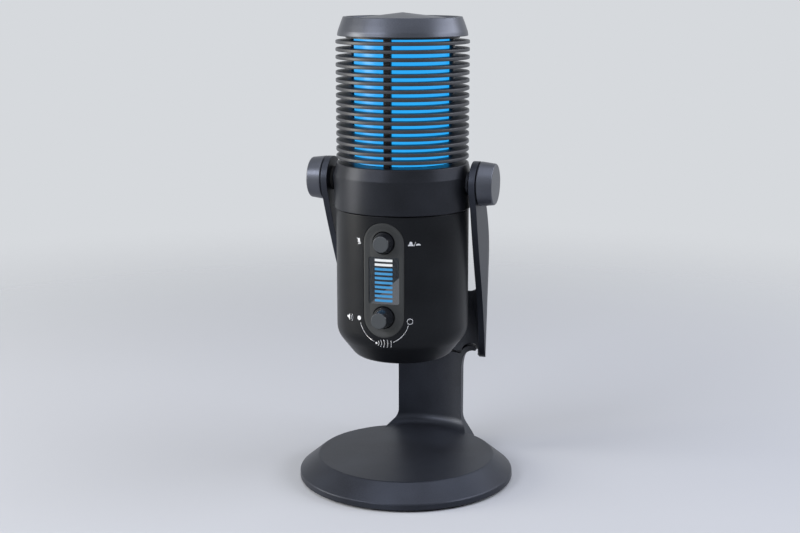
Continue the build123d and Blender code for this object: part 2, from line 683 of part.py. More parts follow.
pcb_y0 = board_y - 1.6
module_y0 = mic_y - (panel_in - 1.0)
with BuildPart() as display_module:
    add(block(-win_w + 0.3, win_w - 0.3, module_y0, pcb_y0, win_z0 + 0.3, win_z1 - 0.3))
display_module.part.label = "display_module"

with BuildPart() as display_bars:
    for i in range(bar_n):
        z = bar_top - bar_pitch * i
        add(block(-bar_w, bar_w, module_y0 - 0.4, module_y0, z - bar_h / 2, z + bar_h / 2))
display_bars.part.label = "display_bars"

with BuildPart() as control_board:
    add(block(-19.5, 19.5, pcb_y0, board_y, 95.5, 149))
    for x in (-17.5, 17.5):
        for z in (99.0, 147.0):
            add(rod_y(1.35, pcb_y0 - 1, board_y + 1, x, z), mode=Mode.SUBTRACT)
control_board.part.label = "control_board"

pan_screw = (Solid.make_cylinder(2.2, 1.4, Plane((0, 0, 0))) +
             Solid.make_cylinder(1.25, 5.6, Plane((0, 0, -5.6))))
pan_screw = pan_screw - (block(-1.3, 1.3, -0.3, 0.3, 0.6, 2) + block(-0.3, 0.3, -1.3, 1.3, 0.6, 2))
with BuildPart() as control_screws:
    for x in (-17.5, 17.5):
        for z in (99.0, 147.0):
            add(turned(pan_screw, x, pcb_y0, z, 90))
control_screws.part.label = "control_screws"

enc_y0 = pcb_y0 - 6.4
with BuildPart() as encoders:
    for z in knob_zs:
        add(block(-5.8, 5.8, enc_y0, pcb_y0, z - 5.8, z + 5.8)
            - rod_y(plunger_r + run_fit, enc_y0 - 1, pcb_y0 - 0.8, 0, z))
encoders.part.label = "encoders"

skin_y = mic_y - body_r
knob_y0 = mic_y - panel_r + 0.8


def front_knob(z, proud):
    y1 = skin_y - proud
    cone = spun_y([(y1, 0, 0), (y1, knob_r1, 0.35), (knob_y0 - 0.8, knob_r0, 0.5), (knob_y0, knob_r0, 0.1),
                   (knob_y0, 0, 0)], 0, z)
    return cone - rod_y(shaft_r, y1 + 1.6, knob_y0 + 1, 0, z)


def plunger(z):
    return (rod_y(plunger_r, enc_y0 - 1.0, pcb_y0 - 1.6, 0, z)
            - rod_y(shaft_r + run_fit, enc_y0 - 3, pcb_y0 + 1, 0, z))


def knob_shaft(z, proud):
    return rod_y(shaft_r, skin_y - proud + 1.6, pcb_y0 - 1.7, 0, z)


with BuildPart() as upper_knob:
    add(front_knob(knob_zs[0], knob_proud[0]))
upper_knob.part.label = "upper_knob"
with BuildPart() as upper_shaft:
    add(knob_shaft(knob_zs[0], knob_proud[0]))
upper_shaft.part.label = "upper_shaft"
with BuildPart() as upper_plunger:
    add(plunger(knob_zs[0]))
upper_plunger.part.label = "upper_plunger"
with BuildPart() as lower_knob:
    add(front_knob(knob_zs[1], knob_proud[1]))
lower_knob.part.label = "lower_knob"
with BuildPart() as lower_shaft:
    add(knob_shaft(knob_zs[1], knob_proud[1]))
lower_shaft.part.label = "lower_shaft"
with BuildPart() as lower_plunger:
    add(plunger(knob_zs[1]))
lower_plunger.part.label = "lower_plunger"

# =====================================================================  boards and sockets
with BuildPart() as main_board:
    add(block(-23.5, 23.5, rear_y, rear_y + 1.6, plate_lo_top + 0.3, 171))
    for x in (-21.5, 21.5):
        for z in (101.0, 166.0):
            add(rod_y(1.35, rear_y - 1, rear_y + 3, x, z), mode=Mode.SUBTRACT)
main_board.part.label = "main_board"

chip_y = rear_y + 1.6
with BuildPart() as main_chips:
    for x0, x1, z0, z1, t in ((-6, 6, 128, 140, 1.4), (-14, -7, 112, 117, 1.2), (8, 16, 110, 114, 1.2),
                              (-15, -11, 146, 149, 1.0), (10, 14, 148, 152, 2.2)):
        add(block(x0, x1, chip_y, chip_y + t, z0, z1))
    for x, z in ((-15, 128), (15, 130), (0, 154)):
        add(rod_y(2.6, chip_y, chip_y + 6.0, x, z))
main_chips.part.label = "main_chips"

with BuildPart() as main_screws:
    for x in (-21.5, 21.5):
        for z in (101.0, 166.0):
            add(turned(pan_screw, x, chip_y, z, -90).moved(Location((0, 0, 0))))
main_screws.part.label = "main_screws"

with BuildPart() as port_board:
    add(block(-18.5, 18.5, mic_y - 9, mic_y + 9, port_z, port_z + 1.6))
    add(block(jack_x - 3.7, jack_x + 3.7, mic_y - 3.5, mic_y + 3.5, port_z - 1, port_z + 3),
        mode=Mode.SUBTRACT)
port_board.part.label = "port_board"

usb_face = outline([(-usb_w / 2, -usb_h / 2, 1.5), (usb_w / 2, -usb_h / 2, 1.5), (usb_w / 2, usb_h / 2, 1.5),
                    (-usb_w / 2, usb_h / 2, 1.5)])
usb_hole = outline([(-usb_w / 2 + 0.3, -usb_h / 2 + 0.3, 1.2), (usb_w / 2 - 0.3, -usb_h / 2 + 0.3, 1.2),
                    (usb_w / 2 - 0.3, usb_h / 2 - 0.3, 1.2), (-usb_w / 2 + 0.3, usb_h / 2 - 0.3, 1.2)])
with BuildPart() as usb_socket:
    add(Solid.extrude(usb_face.moved(Location((usb_x, mic_y, bottom_z + 0.2))),
                      Vector(0, 0, port_z - bottom_z - 0.2)))
    add(Solid.extrude(usb_hole.moved(Location((usb_x, mic_y, bottom_z - 1))), Vector(0, 0, 7.7)),
        mode=Mode.SUBTRACT)
    add(block(usb_x - 3.3, usb_x + 3.3, mic_y - 0.35, mic_y + 0.35, bottom_z + 1.2, bottom_z + 7.5))
usb_socket.part.label = "usb_socket"

with BuildPart() as headphone_jack:
    add(rod(3.0, bottom_z + 0.2, floor_z + 1, jack_x, mic_y))
    add(block(jack_x - 3.5, jack_x + 3.5, mic_y - 3.3, mic_y + 3.3, floor_z + 0.3, bottom_z + jack_l + 1.6))
    add(rod(jack_r, bottom_z - 1, bottom_z + 0.2 + jack_l, jack_x, mic_y), mode=Mode.SUBTRACT)
headphone_jack.part.label = "headphone_jack"

nodes = {
    "foot_pad": foot_pad, "stand_casting": stand_casting, "ballast_plate": ballast_plate,
    "ballast_screws": ballast_screws, "yoke": yoke, "yoke_screws": yoke_screws, "ear_bushes": ear_bushes,
    "friction_washers": friction_washers, "left_knob": left_knob, "left_stud": left_stud,
    "right_knob": right_knob, "right_stud": right_stud, "body_shell": body_shell, "body_screws": body_screws,
    "collar": collar, "pivot_inserts": pivot_inserts, "chassis": chassis, "chassis_screws": chassis_screws,
    "grille_cage": grille_cage, "cap_screws": cap_screws, "top_cap": top_cap, "vent_mesh": vent_mesh,
    "light_tube": light_tube, "light_board": light_board, "light_leds": light_leds,
    "foam_sleeve": foam_sleeve,
    "capsule_holder": capsule_holder, "shock_ring": shock_ring, "capsule": capsule, "diaphragm": diaphragm,
    "control_panel": control_panel, "display_window": display_window, "display_module": display_module,
    "display_bars": display_bars, "control_board": control_board, "control_screws": control_screws,
    "encoders": encoders, "upper_knob": upper_knob, "upper_shaft": upper_shaft,
    "upper_plunger": upper_plunger,
    "lower_knob": lower_knob, "lower_shaft": lower_shaft, "lower_plunger": lower_plunger,
    "main_board": main_board, "main_chips": main_chips, "main_screws": main_screws, "port_board": port_board,
    "usb_socket": usb_socket, "headphone_jack": headphone_jack,
}
for name, piece in nodes.items():
    export_step(piece.part, f"parts/{name}.step")
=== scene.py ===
import bpy
import bmesh
from math import sin, cos, tan, pi, radians, degrees, atan2, sqrt
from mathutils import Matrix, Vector


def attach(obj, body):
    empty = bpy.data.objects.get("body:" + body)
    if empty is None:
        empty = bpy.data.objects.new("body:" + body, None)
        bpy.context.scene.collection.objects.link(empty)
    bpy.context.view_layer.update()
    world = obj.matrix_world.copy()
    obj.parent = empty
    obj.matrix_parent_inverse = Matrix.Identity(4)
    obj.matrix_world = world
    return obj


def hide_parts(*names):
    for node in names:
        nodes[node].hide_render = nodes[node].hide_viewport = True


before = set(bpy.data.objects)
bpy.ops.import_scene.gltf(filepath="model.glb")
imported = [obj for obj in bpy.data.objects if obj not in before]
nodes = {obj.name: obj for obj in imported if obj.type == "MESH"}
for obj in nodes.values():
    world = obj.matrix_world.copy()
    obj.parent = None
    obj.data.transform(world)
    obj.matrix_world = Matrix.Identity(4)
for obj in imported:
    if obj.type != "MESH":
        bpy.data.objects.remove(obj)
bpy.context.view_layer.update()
MM = 0.001


# ------------------------------------------------------------------ colour and nodes
def ink(hex_code):
    """sRGB hex to linear RGBA."""
    out = []
    for i in (0, 2, 4):
        c = int(hex_code[i:i + 2], 16) / 255
        out.append(c / 12.92 if c <= 0.04045 else ((c + 0.055) / 1.055) ** 2.4)
    return (*out, 1.0)


def add(tree, kind, settings=None, **inputs):
    """Adds a node. settings are its properties; inputs are values, or (node, output) links."""
    n = tree.nodes.new(kind)
    for key, value in (settings or {}).items():
        setattr(n, key, value)
    for key, value in inputs.items():
        key = int(key[1:]) if key[0] == "_" else key.replace("_", " ")
        if isinstance(value, tuple) and len(value) == 2 and isinstance(value[0], bpy.types.Node):
            tree.links.new(value[0].outputs[value[1]], n.inputs[key])
        else:
            n.inputs[key].default_value = value
    return n


def start(name):
    """A material with an empty tree: returns it, its tree and its Object coordinates."""
    m = bpy.data.materials.new(name)
    m.use_nodes = True
    t = m.node_tree
    t.nodes.clear()
    return m, t, add(t, "ShaderNodeTexCoord")


def close(m, t, shader, out="BSDF"):
    """Links the shader to the material's output and returns the material."""
    add(t, "ShaderNodeOutputMaterial", Surface=(shader, out))
    return m


def coat(name, dark, light, rough, metal, fleck_mm=0.5, sheen=0.5, edge_mm=0.35, peel_mm=0.03):
    """Graphite lacquer with metal flake, sprayed over the castings and shells. The flake gives soft broad
    highlights. Its grain is finer than this and is drawn at about half a millimetre so that it shows, and the
    lacquer lies round over every edge."""
    m, t, at = start(name)
    obj = (at, "Object")
    flake = add(t, "ShaderNodeTexNoise", Vector=obj, Scale=1 / (fleck_mm * MM), Detail=2.0, Roughness=0.6)
    cloud = add(t, "ShaderNodeTexNoise", Vector=obj, Scale=1 / (30 * MM), Detail=2.0)
    both = add(t, "ShaderNodeMath", {"operation": "MULTIPLY_ADD"}, _0=(flake, "Fac"), _1=0.7,
               _2=(cloud, "Fac"))
    amount = add(t, "ShaderNodeMapRange", Value=(both, "Value"), From_Min=0.55, From_Max=1.15)
    tone = add(t, "ShaderNodeMix", {"data_type": "RGBA"}, Factor=(amount, "Result"), A=ink(dark), B=ink(light))
    gloss = add(t, "ShaderNodeMapRange", Value=(flake, "Fac"), From_Min=0.3, From_Max=0.7,
                To_Min=rough - 0.03, To_Max=rough + 0.05)
    edge = add(t, "ShaderNodeBevel", {"samples": 4}, Radius=edge_mm * MM)
    peel = add(t, "ShaderNodeBump", Strength=0.25, Distance=peel_mm * MM, Height=(flake, "Fac"),
               Normal=(edge, "Normal"))
    return close(m, t, add(t, "ShaderNodeBsdfPrincipled", Base_Color=(tone, "Result"), Metallic=metal,
                           Roughness=(gloss, "Result"), Specular_IOR_Level=sheen, Normal=(peel, "Normal")))


def moulded(name, colour, second, grain_mm, bump_mm, rough):
    """Injection-moulded plastic or rubber with the even spark-eroded grain of its tool."""
    m, t, at = start(name)
    obj = (at, "Object")
    grain = add(t, "ShaderNodeTexNoise", Vector=obj, Scale=1 / (grain_mm * MM), Detail=2.0)
    flow = add(t, "ShaderNodeTexNoise", Vector=obj, Scale=1 / (14 * MM), Detail=3.0)
    tone = add(t, "ShaderNodeMix", {"data_type": "RGBA"}, Factor=(flow, "Fac"), A=ink(colour), B=ink(second))
    gloss = add(t, "ShaderNodeMapRange", Value=(grain, "Fac"), To_Min=rough - 0.06, To_Max=rough + 0.06)
    bump = add(t, "ShaderNodeBump", Strength=0.3, Distance=bump_mm * MM, Height=(grain, "Fac"))
    return close(m, t, add(t, "ShaderNodeBsdfPrincipled", Base_Color=(tone, "Result"),
                           Roughness=(gloss, "Result"), IOR=1.49, Normal=(bump, "Normal")))


def turned_metal(name, colour, second, line_mm, rough):
    """Metal turned or drawn on a machine: fine tool lines, read as streaks in the reflection."""
    m, t, at = start(name)
    lines = add(t, "ShaderNodeTexNoise", Vector=(at, "Object"), Scale=1 / (line_mm * MM), Detail=2.0)
    tone = add(t, "ShaderNodeMix", {"data_type": "RGBA"}, Factor=(lines, "Fac"), A=ink(colour), B=ink(second))
    gloss = add(t, "ShaderNodeMapRange", Value=(lines, "Fac"), To_Min=rough - 0.08, To_Max=rough + 0.08)
    bump = add(t, "ShaderNodeBump", Strength=0.2, Distance=0.02 * MM, Height=(lines, "Fac"))
    return close(m, t, add(t, "ShaderNodeBsdfPrincipled", Base_Color=(tone, "Result"), Metallic=1.0,
                           Roughness=(gloss, "Result"), Normal=(bump, "Normal")))


def lit(name, colour, second, strength, size_mm, skin="0A1014"):
    """A translucent moulding lit from behind: the light is a little uneven from led to led."""
    m, t, at = start(name)
    wave = add(t, "ShaderNodeTexNoise", Vector=(at, "Object"), Scale=1 / (size_mm * MM), Detail=1.0)
    tone = add(t, "ShaderNodeMix", {"data_type": "RGBA"}, Factor=(wave, "Fac"), A=ink(colour), B=ink(second))
    return close(m, t, add(t, "ShaderNodeBsdfPrincipled", Base_Color=ink(skin), Roughness=0.35,
                           Emission_Color=(tone, "Result"), Emission_Strength=strength))


def printed_bars():
    """The level display's segments: the two at the top are white, the rest sky blue, and all glow evenly."""
    lowest_white = 0.1288
    m, t, at = start("display_segments")
    place = add(t, "ShaderNodeSeparateXYZ", Vector=(at, "Object"))
    top = add(t, "ShaderNodeMath", {"operation": "GREATER_THAN"}, _0=(place, "Z"), _1=lowest_white)
    wave = add(t, "ShaderNodeTexNoise", Vector=(at, "Object"), Scale=1 / (5 * MM), Detail=1.0)
    blue = add(t, "ShaderNodeMix", {"data_type": "RGBA"}, Factor=(wave, "Fac"), A=ink("3A8FC8"),
               B=ink("46A0DA"))
    tone = add(t, "ShaderNodeMix", {"data_type": "RGBA"}, Factor=(top, "Value"), A=(blue, "Result"),
               B=ink("F6F7F8"))
    return close(m, t, add(t, "ShaderNodeBsdfPrincipled", Base_Color=ink("0A0C0E"), Roughness=0.4,
                           Emission_Color=(tone, "Result"), Emission_Strength=1.0))


def display_ground():
    """The dark face behind the segments, with a painted reflection: the glare in one corner is drawn as a
    lighter, glowing wedge with a crisp diagonal edge across the lower right."""
    rise, start_height, half_edge = 0.93, 0.1155, 0.0001
    m, t, at = start("display_ground")
    place = add(t, "ShaderNodeSeparateXYZ", Vector=(at, "Object"))
    slant = add(t, "ShaderNodeMath", {"operation": "MULTIPLY_ADD"}, _0=(place, "X"), _1=rise, _2=start_height)
    below = add(t, "ShaderNodeMath", {"operation": "SUBTRACT"}, _0=(slant, "Value"), _1=(place, "Z"))
    edge = add(t, "ShaderNodeMapRange", Value=(below, "Value"), From_Min=-half_edge, From_Max=half_edge)
    fade = add(t, "ShaderNodeMapRange", Value=(place, "X"), From_Min=-0.008, From_Max=0.0085)
    # Painted reflection: the glare's tone gets lighter towards the right and glows as emission inside the wedge.
    painted_glare_tone = add(t, "ShaderNodeMix", {"data_type": "RGBA"}, Factor=(fade, "Result"), A=ink("4E4F52"),
               B=ink("66676A"))
    tone = add(t, "ShaderNodeMix", {"data_type": "RGBA"}, Factor=(edge, "Result"), A=ink("14171B"),
               B=(painted_glare_tone, "Result"))
    return close(m, t, add(t, "ShaderNodeBsdfPrincipled", Base_Color=ink("101113"), Roughness=0.5,
                           Emission_Color=(tone, "Result"), Emission_Strength=0.9))


def clear_window():
    """Smoked acrylic, polished: light passes straight through, and only a glancing sheen stays."""
    m, t, at = start("smoked_window")
    haze = add(t, "ShaderNodeTexNoise", Vector=(at, "Object"), Scale=1 / (9 * MM), Detail=1.0)
    tint = add(t, "ShaderNodeMix", {"data_type": "RGBA"}, Factor=(haze, "Fac"), A=ink("F4F6F8"),
               B=ink("FAFBFC"))
    clear = add(t, "ShaderNodeBsdfTransparent", Color=(tint, "Result"))
    shine = add(t, "ShaderNodeBsdfGlossy", Color=ink("FFFFFF"), Roughness=0.12)
    facing = add(t, "ShaderNodeFresnel", IOR=1.16)
    both = add(t, "ShaderNodeMixShader", Fac=(facing, "Fac"), _1=(clear, "BSDF"), _2=(shine, "BSDF"))
    return close(m, t, both, "Shader")


coat_stand = coat("graphite_coat_on_casting", "24262D", "363A43", 0.42, 0.6, 0.5, 0.35)
coat_shell = coat("graphite_coat_on_shell", "131417", "222427", 0.38, 0.45, 0.4, 0.16)
# The collar's coat is a lighter copy of the shell's graphite coat: its lighter colour is painted highlight for
# the light its chamfer catches.
coat_collar_lit_copy = coat("graphite_coat_on_collar_painted_lighter", "1E2024", "2F3137", 0.37, 0.62, 0.4, 0.2)
# A lighter copy of the graphite coat for the cap and clamp knobs: its lighter colour is painted highlight for
# the light these parts catch.
coat_lit_copy = coat("graphite_coat_painted_lighter", "3D4047", "575A62", 0.36, 0.7, 0.3)
ring_plastic = moulded("satin_rings", "2C2E33", "35373C", 0.5, 0.02, 0.42)
panel_plastic = moulded("satin_panel", "2B2D2D", "323434", 0.4, 0.03, 0.42)
face_plastic = moulded("matt_knob_face", "3C4043", "43474A", 0.3, 0.03, 0.55)
gloss_plastic = moulded("gloss_knob_side", "15171B", "1A1C21", 3.0, 0.004, 0.18)
black_plastic = moulded("black_abs", "101012", "17171A", 0.5, 0.03, 0.45)
rubber = moulded("moulded_rubber", "131314", "1B1B1C", 0.6, 0.06, 0.72)
nylon = moulded("natural_nylon", "C8C6BC", "D2D0C6", 0.8, 0.03, 0.42)
pcb = moulded("solder_mask", "0E2E1E", "12382A", 2.0, 0.02, 0.30)
print_ink = moulded("white_pad_print", "E6E8EA", "F0F1F2", 0.4, 0.005, 0.5)
steel = turned_metal("zinc_plated_steel", "9DA0A4", "B4B7BB", 0.5, 0.34)
black_steel = turned_metal("black_oxide_steel", "26272A", "303135", 0.5, 0.42)
brass = turned_metal("turned_brass", "B4934E", "C8A85F", 0.4, 0.30)
alu = turned_metal("turned_aluminium", "B8B9BB", "C8C9CB", 0.4, 0.30)
tube_light = lit("lit_diffuser_blue", "22A4F2", "2AB0FA", 1.0, 30)

bar_light, display_dark, window_clear = printed_bars(), display_ground(), clear_window()

finishes = {
    coat_stand: ["stand_casting", "yoke"],
    coat_shell: ["body_shell", "top_cap"],
    coat_collar_lit_copy: ["collar"],
    coat_lit_copy: ["left_knob", "right_knob"],
    ring_plastic: ["grille_cage"],
    panel_plastic: ["control_panel"],
    black_plastic: ["chassis", "capsule_holder", "encoders", "headphone_jack", "main_chips"],
    gloss_plastic: ["upper_knob", "lower_knob"],
    rubber: ["foot_pad", "friction_washers", "shock_ring", "foam_sleeve"],
    nylon: ["ear_bushes", "upper_plunger", "lower_plunger", "light_leds"],
    pcb: ["light_board", "control_board", "main_board", "port_board"],
    steel: ["ballast_plate", "ballast_screws", "left_stud", "right_stud", "chassis_screws", "cap_screws",
            "control_screws", "upper_shaft", "lower_shaft", "main_screws", "usb_socket", "vent_mesh"],
    black_steel: ["yoke_screws", "body_screws"],
    brass: ["pivot_inserts", "diaphragm"],
    alu: ["capsule"],
    tube_light: ["light_tube"],
    bar_light: ["display_bars"],
    display_dark: ["display_module"],
    window_clear: ["display_window"],
}
for mat, names in finishes.items():
    for n in names:
        nodes[n].data.materials.clear()
        nodes[n].data.materials.append(mat)


# ------------------------------------------------------------------ building pieces
# Sizes in mm. The head's axis stands at MIC_Y, and it tilts about the line through the two clamp knobs.
MIC_Y, PIVOT_Z = -7.0, 169.7
SHELL_R = 36.0
UPPER_KNOB_Z, LOWER_KNOB_Z = 141.6, 101.6
PANEL_HALF, PANEL_LOW, PANEL_HIGH = 11.1, 90.7, 152.2
WINDOW = (-8.6, 8.6, 108.8, 133.85)
WINDOW_HOLE = (-8.65, 8.65, 108.75, 133.9)
RING_COUNT, RING_FIRST_Z, RING_PITCH = 16, 183.5, 4.0467
SLOT_COUNT, SLOT_CIRCLE_R = 40, 27.3
SEGMENT_COUNT, SEGMENT_PITCH = 10, 2.4


def rounded(corners, step=14):
    """Closed outline in mm. Corner (a, b, r) is rounded to r, and short holding runs keep flats shading flat."""
    ends, n = [], len(corners)
    for i, (a, b, r) in enumerate(corners):
        p = Vector((a, b))
        u = (Vector(corners[i - 1][:2]) - p).normalized()
        v = (Vector(corners[(i + 1) % n][:2]) - p).normalized()
        if r <= 0:
            ends.append([p])
            continue
        half = u.angle(v) / 2
        mid = p + (u + v).normalized() * (r / sin(half))
        q0, q1 = p + u * (r / tan(half)), p + v * (r / tan(half))
        a0, a1 = atan2(*(q0 - mid).yx), atan2(*(q1 - mid).yx)
        turn = (a1 - a0 + pi) % (2 * pi) - pi
        k = max(3, int(degrees(abs(turn)) / step) + 1)
        ends.append([mid + r * Vector((cos(a0 + turn * j / k), sin(a0 + turn * j / k))) for j in range(k + 1)])
    out = []
    for i, run in enumerate(ends):
        out += run
        p, q = run[-1], ends[(i + 1) % n][0]
        if (q - p).length > 1.2:
            d = (q - p).normalized() * 0.25
            out += [p + d, q - d]
    return [tuple(v) for v in out]


def mesh_piece(name, bm, mats, sharp=32):
    """A finished mesh in metres from a bmesh in mm."""
    bmesh.ops.remove_doubles(bm, verts=bm.verts, dist=1e-4)
    bmesh.ops.recalc_face_normals(bm, faces=bm.faces)
    bmesh.ops.scale(bm, vec=(MM, MM, MM), verts=bm.verts)
    me = bpy.data.meshes.new(name)
    bm.to_mesh(me)
    bm.free()
    for m in mats:
        me.materials.append(m)
    me.polygons.foreach_set("use_smooth", [True] * len(me.polygons))
    me.set_sharp_from_angle(angle=radians(sharp))
    ob = bpy.data.objects.new(name, me)
    bpy.context.scene.collection.objects.link(ob)
    return ob


def spin(name, outline, mats, along="Z", at=(0.0, MIC_Y), side=1, around=160, paint=None):
    """Turns an outline of (radius, height) about an axis. at holds the axis's two fixed coordinates in
    X, Y, Z order; paint(radius, height) picks a face's material."""
    bm = bmesh.new()
    rings = []
    for r, h in outline:
        ring = []
        for k in range(around):
            w = 2 * pi * k / around
            a, b = r * cos(w), r * sin(w)
            p = {"Z": (at[0] + a, at[1] + b, h), "X": (side * h, at[0] + a, at[1] + b),
                 "Y": (at[0] + a, h, at[1] + b)}[along]
            ring.append(bm.verts.new(p))
            if r < 1e-6:
                ring *= around
                break
        rings.append(ring)
    for i, one in enumerate(rings):
        two = rings[(i + 1) % len(rings)]
        if outline[i][0] < 1e-6 and outline[(i + 1) % len(rings)][0] < 1e-6:
            continue
        for k in range(around):
            loop = [one[k], one[(k + 1) % around], two[(k + 1) % around], two[k]]
            loop = [v for j, v in enumerate(loop) if v is not loop[j - 1]]
            if len(loop) > 2:
                f = bm.faces.new(loop)
                if paint:
                    mid = (Vector(outline[i]) + Vector(outline[(i + 1) % len(rings)])) / 2
                    f.material_index = paint(mid.x, mid.y)
    return mesh_piece(name, bm, mats)


def settle(ob, body, *stands_for):
    """The piece rides on its body and stands for the CAD nodes named, which it hides."""
    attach(ob, body)
    if stands_for:
        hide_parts(*stands_for)
    return ob


def plain_mesh(ob, name, mats, sharp=32):
    """Bakes an object's modifiers into a new plain mesh and drops the object."""
    bpy.context.view_layer.update()
    ready = ob.evaluated_get(bpy.context.evaluated_depsgraph_get())
    me = bpy.data.meshes.new_from_object(ready)
    me.name = name
    bpy.data.objects.remove(ob)
    me.materials.clear()
    for m in mats:
        me.materials.append(m)
    bm = bmesh.new()
    bm.from_mesh(me)
    bmesh.ops.remove_doubles(bm, verts=bm.verts, dist=2e-7)
    bm.to_mesh(me)
    bm.free()
    me.polygons.foreach_set("use_smooth", [True] * len(me.polygons))
    me.set_sharp_from_angle(angle=radians(sharp))
    out = bpy.data.objects.new(name, me)
    bpy.context.scene.collection.objects.link(out)
    return out


def tree_with(name, sizes):
    """A Geometry Nodes tree with a Geometry input and the named size inputs; returns it and its two ends."""
    g = bpy.data.node_groups.new(name, "GeometryNodeTree")
    g.interface.new_socket("Geometry", in_out="INPUT", socket_type="NodeSocketGeometry")
    for label, kind in sizes:
        g.interface.new_socket(label, in_out="INPUT", socket_type=kind)
    g.interface.new_socket("Geometry", in_out="OUTPUT", socket_type="NodeSocketGeometry")
    return g, g.nodes.new("NodeGroupInput")


def run_tree(ob, g, values, name, mats, sharp=32):
    """Applies a tree to an object with its size inputs set, and returns the plain mesh."""
    mod = ob.modifiers.new(g.name, "NODES")
    mod.node_group = g
    for item in g.interface.items_tree:
        if item.in_out == "INPUT" and item.name in values:
            mod[item.identifier] = values[item.name]
    return plain_mesh(ob, name, mats, sharp)


def stacked(mat):
    """Copies of one shape in a row up Z."""
    sizes = [("Count", "NodeSocketInt"), ("First height", "NodeSocketFloat"), ("Pitch", "NodeSocketFloat")]
    g, i = tree_with("stacked_copies", sizes)
    low = add(g, "ShaderNodeCombineXYZ", Z=(i, "First height"))
    step = add(g, "ShaderNodeCombineXYZ", Z=(i, "Pitch"))
    row = add(g, "GeometryNodeMeshLine", Count=(i, "Count"), Start_Location=(low, "Vector"),
              Offset=(step, "Vector"))
    put = add(g, "GeometryNodeInstanceOnPoints", Points=(row, "Mesh"), Instance=(i, "Geometry"))
    real = add(g, "GeometryNodeRealizeInstances", Geometry=(put, "Instances"))
    skin = add(g, "GeometryNodeSetMaterial", Geometry=(real, "Geometry"), Material=mat)
    add(g, "NodeGroupOutput", Geometry=(skin, "Geometry"))
    return g


def encircled(mat, name="copies_on_a_circle"):
    """Copies of one shape on a circle in XY, each turned to face outwards."""
    sizes = [("Count", "NodeSocketInt"), ("Radius", "NodeSocketFloat"), ("Start angle", "NodeSocketFloat"),
             ("Centre", "NodeSocketVector")]
    g, i = tree_with(name, sizes)
    row = add(g, "GeometryNodeMeshLine", Count=(i, "Count"), Offset=(0.0, 0.0, 0.0))
    which = add(g, "GeometryNodeInputIndex")
    part = add(g, "ShaderNodeMath", {"operation": "DIVIDE"}, _0=(which, "Index"), _1=(i, "Count"))
    angle = add(g, "ShaderNodeMath", {"operation": "MULTIPLY_ADD"}, _0=(part, "Value"), _1=2 * pi,
                _2=(i, "Start angle"))
    c = add(g, "ShaderNodeMath", {"operation": "COSINE"}, _0=(angle, "Value"))
    s = add(g, "ShaderNodeMath", {"operation": "SINE"}, _0=(angle, "Value"))
    spoke = add(g, "ShaderNodeCombineXYZ", X=(c, "Value"), Y=(s, "Value"))
    out = add(g, "ShaderNodeVectorMath", {"operation": "SCALE"}, _0=(spoke, "Vector"), Scale=(i, "Radius"))
    spot = add(g, "ShaderNodeVectorMath", {"operation": "ADD"}, _0=(out, "Vector"), _1=(i, "Centre"))
    there = add(g, "GeometryNodeSetPosition", Geometry=(row, "Mesh"), Position=(spot, "Vector"))
    face = add(g, "ShaderNodeCombineXYZ", Z=(angle, "Value"))
    put = add(g, "GeometryNodeInstanceOnPoints", Points=(there, "Geometry"), Instance=(i, "Geometry"),
              Rotation=(face, "Vector"))
    real = add(g, "GeometryNodeRealizeInstances", Geometry=(put, "Instances"))
    skin = add(g, "GeometryNodeSetMaterial", Geometry=(real, "Geometry"), Material=mat)
    add(g, "NodeGroupOutput", Geometry=(skin, "Geometry"))
    return g


def soft_box(name, x0, x1, y0, y1, z0, z1, mats, edge=0.2, cuts=2):
    """A block in mm with rounded edges."""
    bm = bmesh.new()
    bmesh.ops.create_cube(bm, size=1.0)
    bmesh.ops.scale(bm, vec=(x1 - x0, y1 - y0, z1 - z0), verts=bm.verts)
    bmesh.ops.translate(bm, vec=((x0 + x1) / 2, (y0 + y1) / 2, (z0 + z1) / 2), verts=bm.verts)
    if edge:
        bmesh.ops.bevel(bm, geom=bm.edges[:], offset=edge, segments=cuts, profile=0.5, affect="EDGES")
    return mesh_piece(name, bm, mats)


def carve(ob, *cutters):
    """Cuts each cutter out of the object."""
    for c in cutters:
        mod = ob.modifiers.new("cut", "BOOLEAN")
        mod.operation, mod.solver, mod.object = "DIFFERENCE", "EXACT", c
    return ob


def drop(*obs):
    """Removes objects that were only tools."""
    for o in obs:
        bpy.data.objects.remove(o)


# ------------------------------------------------------------------ grille
ring_outline = [(27.6, -0.9, 0.3), (35.7, -0.9, 0.45), (35.7, 0.9, 0.45), (27.6, 0.9, 0.3)]
ring = spin("ring_blank", rounded(ring_outline), [ring_plastic], around=128)
ring_row = {"Count": RING_COUNT, "First height": RING_FIRST_Z * MM, "Pitch": RING_PITCH * MM}
rings = run_tree(ring, stacked(ring_plastic), ring_row, "grille_rings", [ring_plastic])
settle(rings, "microphone", "grille_cage")
rib = soft_box("rib_blank", 26.12, 28.3, -2.05, 2.05, 177.7, 249.2, [ring_plastic], 0.3)
rib_circle = {"Count": 4, "Radius": 0.0, "Start angle": 0.0, "Centre": (0.0, MIC_Y * MM, 0.0)}
ribs = run_tree(rib, encircled(ring_plastic), rib_circle, "grille_ribs", [ring_plastic])
settle(ribs, "microphone")
for label, r0, r1, z0, z1 in (("grille_foot_hoop", 26.1, 30.0, 177.6, 180.2),
                              ("grille_top_hoop", 26.1, 30.4, 246.2, 249.2)):
    outline = rounded([(r0, z0, 0.2), (r1, z0, 0.2), (r1, z1, 0.2), (r0, z1, 0.2)])
    settle(spin(label, outline, [ring_plastic], around=96), "microphone")

